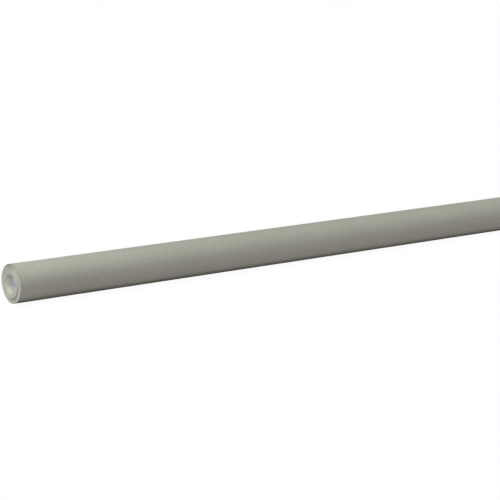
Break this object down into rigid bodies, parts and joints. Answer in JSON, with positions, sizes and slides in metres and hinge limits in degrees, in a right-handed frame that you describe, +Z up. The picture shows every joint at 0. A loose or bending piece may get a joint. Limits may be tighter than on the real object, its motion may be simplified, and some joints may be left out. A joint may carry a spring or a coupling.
{
  "type": "backdrop paper roll",
  "caption": "Half-width roll of seamless grey backdrop paper on a recessed board core, with proud inner windings, a loose last wrap and a free edge that lifts off the back.",
  "frame": {"origin": "centre of the core's bore, halfway along the roll", "axes": "+X along the roll and its bore, away from the end whose inner windings stand proud; -Y the front; +Z up, with the web coming over the top and its free edge down the back (+Y)"},
  "size_m": [1.352, 0.066, 0.066],
  "materials": {
    "backdrop_paper": "matte",
    "core_board": "matte",
    "liner_board": "matte",
    "tape": "satin"
  },
  "bodies": {
    "roll": {"core_inner_liner": "liner_board", "core_body_ply_inner": "core_board", "core_body_ply_outer": "core_board", "core_outer_ply": "core_board", "web_start_tape_tabs": "tape", "web_inner_windings": "backdrop_paper", "web_outer_windings": "backdrop_paper", "web_last_wrap": "backdrop_paper"},
    "tail_1": {"web_tail_strip_1": "backdrop_paper"},
    "tail_2": {"web_tail_strip_2": "backdrop_paper"},
    "tail_3": {"web_tail_strip_3": "backdrop_paper"},
    "tail_4": {"web_tail_strip_4": "backdrop_paper"}
  },
  "joints": [
    {"name": "tail_peel", "type": "hinge", "parent": "roll", "child": "tail_1", "pos_m": [0, 0.00583, 0.03333], "axis": [1, 0, 0], "range_deg": [0, 30]},
    {"name": "tail_bend_1", "type": "hinge", "parent": "tail_1", "child": "tail_2", "pos_m": [0, 0.01785, 0.02866], "axis": [1, 0, 0], "range_deg": [0, 30]},
    {"name": "tail_bend_2", "type": "hinge", "parent": "tail_2", "child": "tail_3", "pos_m": [0, 0.02716, 0.01974], "axis": [1, 0, 0], "range_deg": [0, 30]},
    {"name": "tail_bend_3", "type": "hinge", "parent": "tail_3", "child": "tail_4", "pos_m": [0, 0.03235, 0.00795], "axis": [1, 0, 0], "range_deg": [0, 30]}
  ],
  "couplings": [
    {"joint": "tail_bend_1", "follows": "tail_peel", "ratio": 1},
    {"joint": "tail_bend_2", "follows": "tail_peel", "ratio": 1},
    {"joint": "tail_bend_3", "follows": "tail_peel", "ratio": 1}
  ]
}
